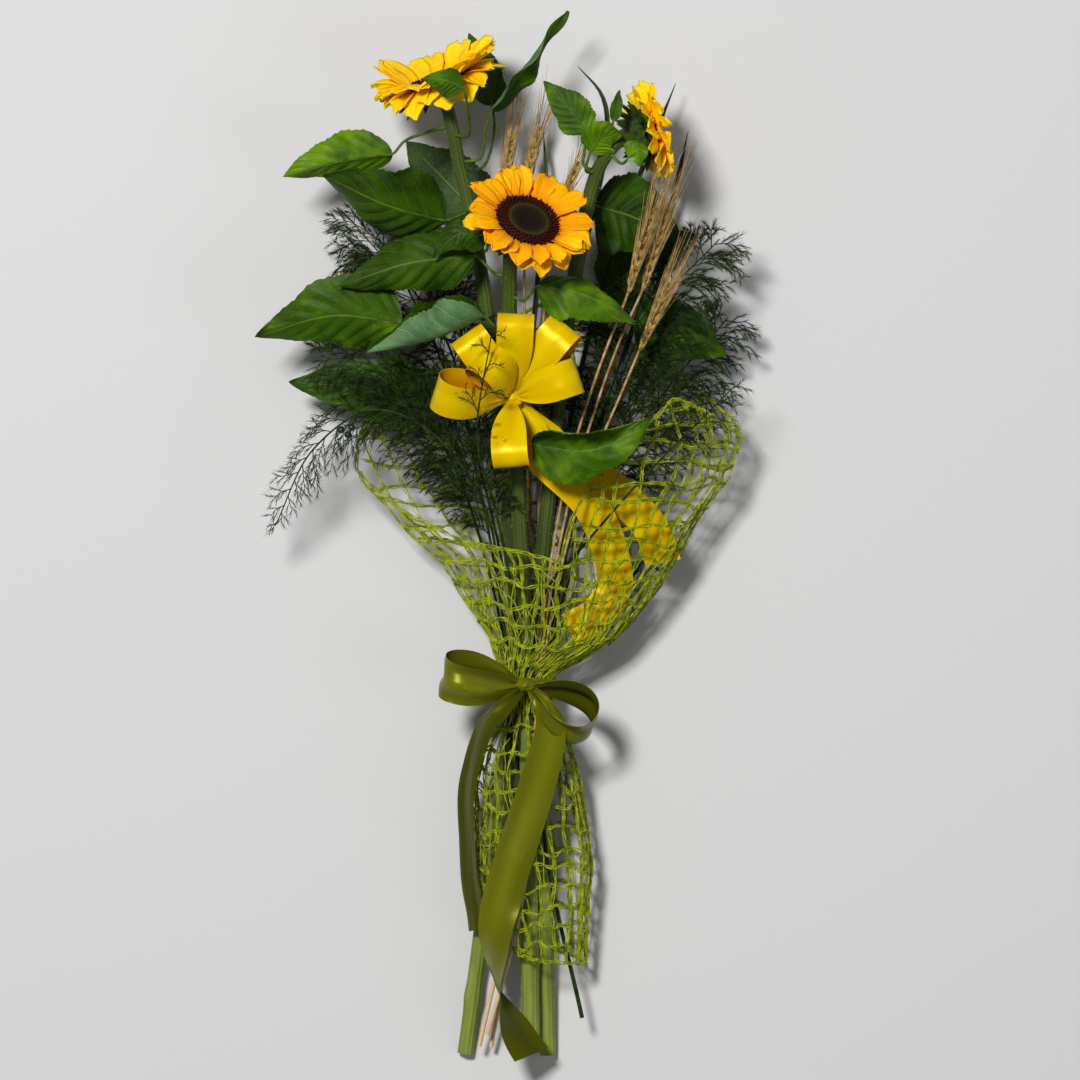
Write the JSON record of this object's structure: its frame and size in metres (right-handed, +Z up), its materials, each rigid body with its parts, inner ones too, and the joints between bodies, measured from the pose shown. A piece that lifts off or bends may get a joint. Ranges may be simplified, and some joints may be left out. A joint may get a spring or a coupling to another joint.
{
  "type": "bunch of sunflowers",
  "caption": "Hand-tied bunch of sunflowers lying on its back, with leaves, feathery fern, bearded wheat and grass in an open green net, with a yellow bow and an olive ribbon.",
  "frame": {"origin": "middle of the footprint, on the surface the bunch lies on", "axes": "+Y from the stem ends towards the flowers, +Z up out of the surface towards the front of the bunch, +X to the right as seen from above"},
  "size_m": [0.432, 0.8946, 0.2154],
  "materials": {
    "stem": "satin",
    "petal": "matte",
    "disc": "matte",
    "leaf": "satin",
    "fern": "matte",
    "wheat": "matte",
    "grass": "matte",
    "net": "matte",
    "ribbon_yellow": "gloss",
    "ribbon_olive": "satin",
    "elastic": "matte"
  },
  "bodies": {
    "root": {"stem_front": "stem", "stem_left": "stem", "stem_right": "stem", "petals_front": "petal", "petals_left": "petal", "petals_right": "petal", "disc_front": "disc", "disc_left": "disc", "disc_right": "disc", "leaf_left_top": "leaf", "leaf_left_big": "leaf", "leaf_left_mid": "leaf", "leaf_left_low": "leaf", "leaf_front_left": "leaf", "leaf_left_back": "leaf", "leaf_under_bloom": "leaf", "leaf_right_front": "leaf", "leaf_tail_right": "leaf", "leaf_right_big": "leaf", "leaf_right_low": "leaf", "leaf_right_top": "leaf", "leaf_right_fold": "leaf", "leaf_right_small": "leaf", "leaf_right_narrow": "leaf", "leaf_top_tall": "leaf", "leaf_top_back": "leaf", "leaf_left_bloom": "leaf", "leaf_back_left": "leaf", "leaf_back_right": "leaf", "bow_yellow": "ribbon_yellow", "ribbon_olive": "ribbon_olive", "elastic_inner": "elastic", "net_wrap": "net", "wheat_right_front": "wheat", "wheat_right_back": "wheat", "wheat_right_low": "wheat", "wheat_middle": "wheat", "wheat_top_left": "wheat", "wheat_top_right": "wheat", "grass_top": "grass", "grass_right_high": "grass", "grass_right_low": "grass", "grass_loop": "grass", "grass_middle": "grass", "fern_left_low": "fern", "fern_left_mid": "fern", "fern_left_high": "fern", "fern_right_high": "fern", "fern_right_mid": "fern", "fern_right_low": "fern", "fern_front": "fern", "fern_back": "fern"}
  },
  "joints": []
}
